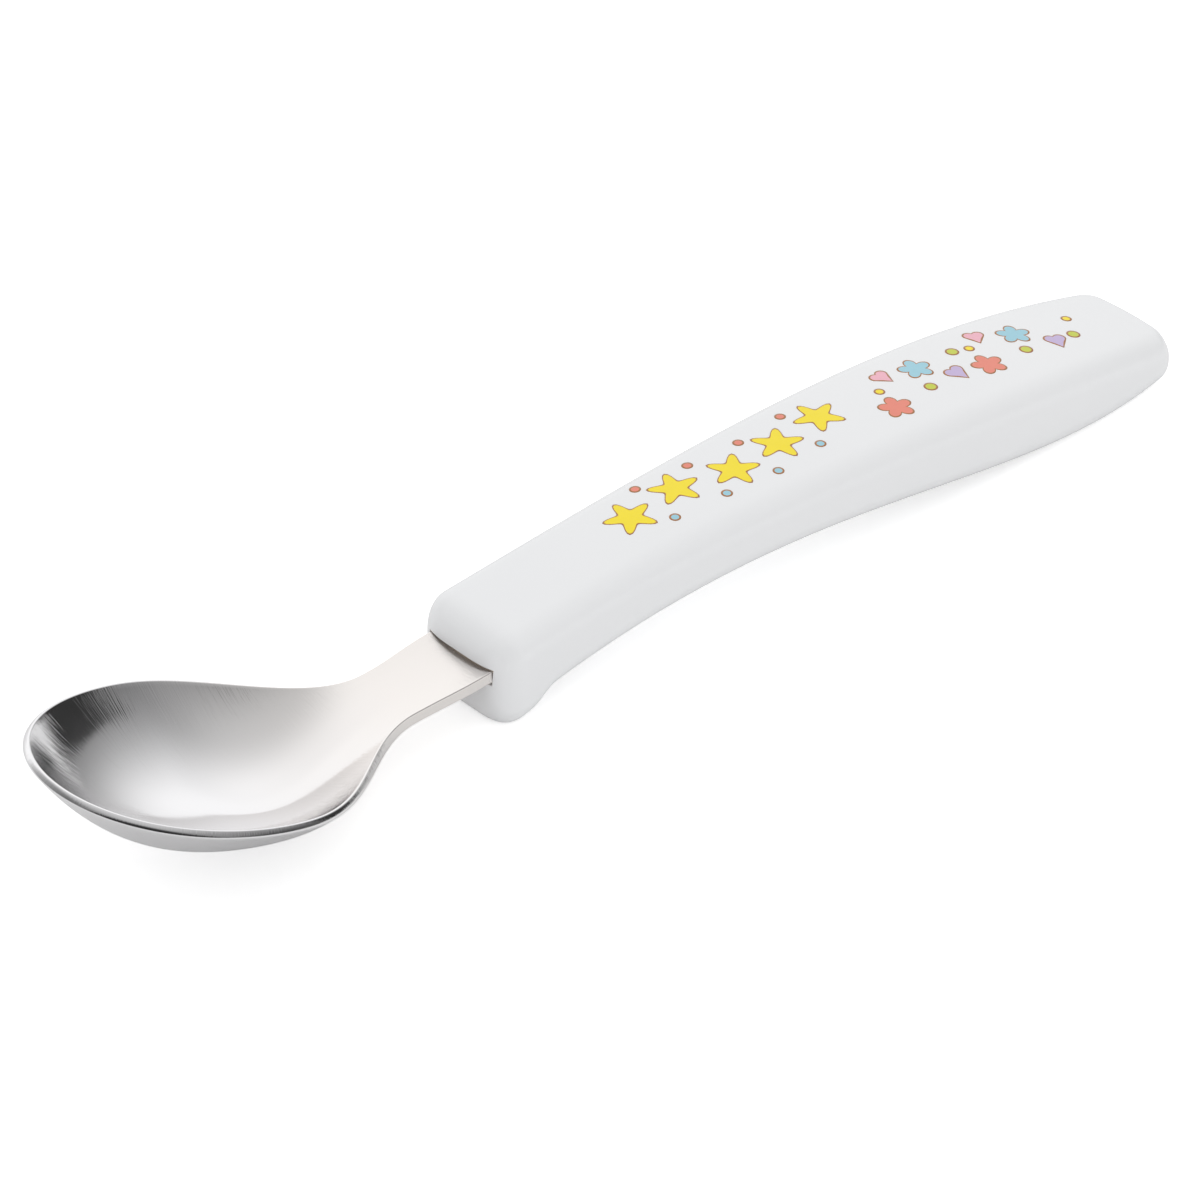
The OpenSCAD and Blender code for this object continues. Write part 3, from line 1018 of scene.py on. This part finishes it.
# %% Runs along the handle
PRINT_RUNS = [
    dict(shape=star_radius, ink="yellow", radius=2.9,
         line=dict(first=0.5, pitch=6.6, count=5, across=0.4, swing=0.9)),
    dict(shape=dot_radius, ink="blue", radius=0.6,
         line=dict(first=3.8, pitch=6.6, count=4, across=-2.9, swing=0.5)),
    dict(shape=dot_radius, ink="coral", radius=0.6,
         line=dict(first=4.2, pitch=6.6, count=4, across=3.4, swing=0.5)),
    dict(shape=flower_radius, ink="coral", radius=2.0,
         line=dict(first=34.5, pitch=14.0, count=2, across=-2.0, swing=0.4)),
    dict(shape=flower_radius, ink="blue", radius=2.0,
         line=dict(first=41.5, pitch=14.0, count=2, across=2.1, swing=0.6)),
    dict(shape=heart_radius, ink="pink", radius=1.5,
         line=dict(first=37.5, pitch=14.0, count=2, across=3.2, swing=0.4)),
    dict(shape=heart_radius, ink="lilac", radius=1.6,
         line=dict(first=44.5, pitch=14.0, count=2, across=-1.4, swing=0.4)),
    dict(shape=dot_radius, ink="lime", radius=0.75,
         line=dict(first=40.2, pitch=7.0, count=4, across=-0.2, swing=2.6)),
    dict(shape=dot_radius, ink="yellow", radius=0.6,
         line=dict(first=35.2, pitch=14.0, count=3, across=1.4, swing=0.6)),
]
PRINT_SIZES = {"Line width": 0.2, "Film": 0.02, "Swing length": 21.0}

input_kinds = {"Handle": "NodeSocketObject", **dict.fromkeys(PRINT_SIZES, "NodeSocketFloat")}
printing, print_size = new_tree("printed_motifs", input_kinds)
target = add_node(printing, "GeometryNodeObjectInfo", {
    "Object": print_size["Handle"],
}, transform_space="ORIGINAL")
print_index = flow(printing, "GeometryNodeInputIndex")
print_position = flow(printing, "GeometryNodeInputPosition")
print(sum(run["line"]["count"] for run in PRINT_RUNS), "motifs in", len(PRINT_RUNS), "runs")

# %% Disc of one motif
MOTIF_STEPS = 60
FILL_ROWS = 4
OUTER_ROWS = 3
RIM_MIDDLE = FILL_ROWS + 1.5

# The underside lies below the handle's surface, this many films under the top of the ink.
UNDER_DROP = 3


def motif_disc(shape, radius):
    """A thin closed disc: rows of ink from its middle out, then a row each for its line, its edge and its
    underside, which are marked as outline."""
    inputs = {"Vertices X": FILL_ROWS + OUTER_ROWS + 1, "Vertices Y": MOTIF_STEPS + 1}
    disc = flow(printing, "GeometryNodeMeshGrid", inputs)
    face_row = row_and_column(print_index, MOTIF_STEPS)[0]
    marked = flow(printing, "GeometryNodeStoreNamedAttribute", {
        "Geometry": disc, "Name": "outline", "Value": face_row > FILL_ROWS - 0.5,
    }, data_type="BOOLEAN", domain="FACE")
    row, column = row_and_column(print_index, MOTIF_STEPS + 1)
    angle = column * (math.tau / MOTIF_STEPS)
    rim = shape(angle) * (radius * MM)
    is_rim = calc("ABSOLUTE", row - RIM_MIDDLE) < 1.0
    is_under = row > RIM_MIDDLE
    fill_share = calc("MINIMUM", row, FILL_ROWS) / FILL_ROWS
    fill = (rim - print_size["Line width"]) * fill_share * (1 - is_under)
    out = mix("FLOAT", is_rim, fill, rim)
    film = print_size["Film"] * (1 - is_under * UNDER_DROP)
    spot = vector(out * calc("COSINE", angle), out * calc("SINE", angle), film)
    return weld(move_points(marked, Position=spot))


print("a motif's disc has", (FILL_ROWS + OUTER_ROWS) * MOTIF_STEPS, "faces")

# %% Motifs of one run
PRINT_SEED = 7
TURN_RANGE = math.radians(24)


def run_points(first, pitch, count, across, swing):
    """Evenly spaced points along the handle that swing from side to side."""
    line = flow(printing, "GeometryNodeMeshLine", {
        "Count": count, "Start Location": (first * MM, across * MM, 0.0), "Offset": (pitch * MM, 0.0, 0.0),
    }, mode="OFFSET")
    wave = split(print_position)[0] * math.tau / print_size["Swing length"]
    return move_points(line, Offset=vector(y=calc("SINE", wave) * (swing * MM)))


def turned_motifs(points, disc, seed):
    """A disc on each point, each turned a little by chance."""
    chance = add_node(printing, "FunctionNodeRandomValue", {"Seed": seed}, data_type="FLOAT")
    for socket, limit in zip(shown(chance.inputs), (-TURN_RANGE, TURN_RANGE)):
        join(socket, limit)
    inputs = {"Points": points, "Instance": disc, "Rotation": vector(z=Wire(shown(chance.outputs)[0]))}
    motifs = flow(printing, "GeometryNodeInstanceOnPoints", inputs)
    return flow(printing, "GeometryNodeRealizeInstances", {"Geometry": motifs})


print("each motif turns up to", round(math.degrees(TURN_RANGE)), "degrees")

# %% [markdown]
# ## Lay the print on the handle
# The motifs are still flat. A Shrinkwrap modifier could press them on to the handle, but it would also
# press the film flat. A ray cast straight down finds the surface below each point, and the point then
# stands off it by its own small height, so the ink keeps its thickness. The last Set Material inks the
# outlines brown.

# %% Lay and ink
RAY_START = 30 * MM


def lay_on_handle(motifs):
    """Motifs dropped on to the handle, with their own height kept above its surface."""
    x, y, z = split(print_position)
    ray = add_node(printing, "GeometryNodeRaycast", {
        "Target Geometry": target.outputs["Geometry"],
        "Source Position": vector(x, y, RAY_START),
        "Ray Direction": (0.0, 0.0, -1.0),
    })
    stand_off = in_order("ShaderNodeVectorMath", (Wire(ray.outputs["Hit Normal"]), z), operation="SCALE")
    return move_points(motifs, Position=ray.outputs["Hit Position"], Offset=stand_off)


every_run = add_node(printing, "GeometryNodeJoinGeometry")
for number, run in enumerate(PRINT_RUNS):
    disc = motif_disc(run["shape"], run["radius"])
    motifs = turned_motifs(run_points(**run["line"]), disc, PRINT_SEED + number)
    laid = flow(printing, "GeometryNodeSetShadeSmooth", {"Geometry": lay_on_handle(motifs)}, domain="FACE")
    inked = flow(printing, "GeometryNodeSetMaterial", {"Geometry": laid, "Material": inks[run["ink"]]})
    join(every_run.inputs["Geometry"], inked)
outline = flow(printing, "GeometryNodeInputNamedAttribute", {"Name": "outline"}, data_type="BOOLEAN")
finish_tree(printing, every_run.outputs["Geometry"], inks["brown"], outline)
print(printing.name, "has", len(printing.nodes), "nodes")

# %% Make the print
handle_print = new_piece("handle_print")
print_values = {name: value * MM for name, value in PRINT_SIZES.items()}
run_tree(handle_print, printing, {"Handle": handle, **print_values})

# %% [markdown]
# ## Place the pieces on the part
# The new spoon head and the new handle take the place of their CAD nodes, which are hidden, and ride on the
# part's only body. Parenting them by hand would work too. The print is a film on the handle, so it rides
# along and stands for no CAD node.

# %% Ride and replace
for piece, node, finish in ((spoon_head, "spoon_head", "steel"), (handle, "handle", "handle_plastic")):
    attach(piece, "root")
    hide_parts(node)
    print(piece.name, "stands for", node)
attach(handle_print, "root")

# %% [markdown]
# ## Studio
# The spoon is lit evenly, as in a white tent. What a polished bowl looks like depends on what it reflects,
# so reflections see a room: plain walls with a brighter ceiling and backdrop, darker sides at the right,
# front and left, and a dark screen beyond the handle's tail. Lamps and panels could make the same room, but
# they would also shade the white handle. The world's shader gives each kind of ray its own surroundings,
# and the camera itself sees plain white.

# %% Parts of the room
PLAIN_WALL = 0.309
ROOM_LIGHTS = [
    dict(side=(0, 0, 1), low=0.605, high=1.215, full=0.529),
    dict(side=(0.535, 0.808, -0.248), low=-0.418, high=0.703, full=0.832),
]
ROOM_SHADES = [
    dict(side=(0.712, -0.407, -0.572), low=0.126, high=0.662, full=0.795),
    dict(side=(-0.75, -0.66, 0.05), low=0.52, high=0.78, full=0.9),
    dict(side=(-0.62, 0.72, 0.31), low=0.76, high=0.95, full=0.6),
]
SCREEN_TOP = dict(side=(0.341, -0.665, -0.665), low=0.165, high=0.195, full=0.82)
SCREEN_SIDE = dict(side=(0.407, 0.914, 0.0), low=-0.02, high=0.02, full=1.0)

world = bpy.data.worlds.new("white_studio")
world.use_nodes = True
scene.world = world
direction = Wire(add_node(world.node_tree, "ShaderNodeTexCoord").outputs["Generated"])


def towards(side, low, high, full):
    """0 away from a side of the room, full towards it, with a smooth rise between low and high."""
    facing = in_order("ShaderNodeVectorMath", (direction, side), operation="DOT_PRODUCT")
    return ranged(facing, low, high, 0.0, full, rise="SMOOTHSTEP")


ceiling, backdrop = [towards(**light) for light in ROOM_LIGHTS]
right, front, left = [towards(**shade) for shade in ROOM_SHADES]
walls = ceiling + backdrop + PLAIN_WALL
lit_walls = walls * (1 - calc("MAXIMUM", calc("MAXIMUM", right, front), left))
room = lit_walls * (1 - towards(**SCREEN_TOP) * towards(**SCREEN_SIDE))
print("the room takes", len(world.node_tree.nodes), "nodes")

# %% Light for each kind of ray
ROOM_LIGHT = 0.92
WHITE = (1, 1, 1, 1)

scene.view_settings.view_transform = "Standard"
path = add_node(world.node_tree, "ShaderNodeLightPath").outputs
is_reflected = calc("MAXIMUM", Wire(path["Is Glossy Ray"]), Wire(path["Is Transmission Ray"]))
around = ranged(is_reflected, 0.0, 1.0, ROOM_LIGHT, room)
background = world.node_tree.nodes["Background"]
background.inputs["Color"].default_value = WHITE
join(background.inputs["Strength"], ranged(Wire(path["Is Camera Ray"]), 0.0, 1.0, around, 1.0))
print(world.name, "lights the spoon at", ROOM_LIGHT)

# %% [markdown]
# ## Table
# The spoon lies on a plain white table. A shadow catcher would leave a see-through picture that still needs
# its white ground, so the table is a dull white sheet with a slight glow that only the camera sees. It
# renders as white and keeps the soft shadow. It lies a hair below the handle's lands, because two faces in
# one plane would flicker.

# %% Table
FLOOR_HALF = 2.0
FLOOR_Z = -0.02 * MM
FLOOR_GLOW = 0.5
FLOOR_WHITE = (0.9, 0.9, 0.9, 1)
SQUARE = ((-1, -1), (1, -1), (1, 1), (-1, 1))

white_table, shader = new_finish(
    "white_table", Base_Color=FLOOR_WHITE, Roughness=0.9, Specular_IOR_Level=0.0, Emission_Color=WHITE,
)
seen = Wire(add_node(white_table.node_tree, "ShaderNodeLightPath").outputs["Is Camera Ray"])
join(shader.inputs["Emission Strength"], seen * FLOOR_GLOW)
floor = new_piece("floor")
floor_corners = [(x * FLOOR_HALF, y * FLOOR_HALF, FLOOR_Z) for x, y in SQUARE]
floor.data.from_pydata(floor_corners, [], [(0, 1, 2, 3)])
floor.data.materials.append(white_table)
floor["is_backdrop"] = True
print("the table is", 2 * FLOOR_HALF, "m wide")

# %% [markdown]
# ## Finish
# Dressing a part must not change its size.

# %% Sizes and finish
for name, box in (("CAD", cad_box), ("dressed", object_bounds())):
    print(name, "box:", [[round(x / MM, 2) for x in corner] for corner in box], "mm")
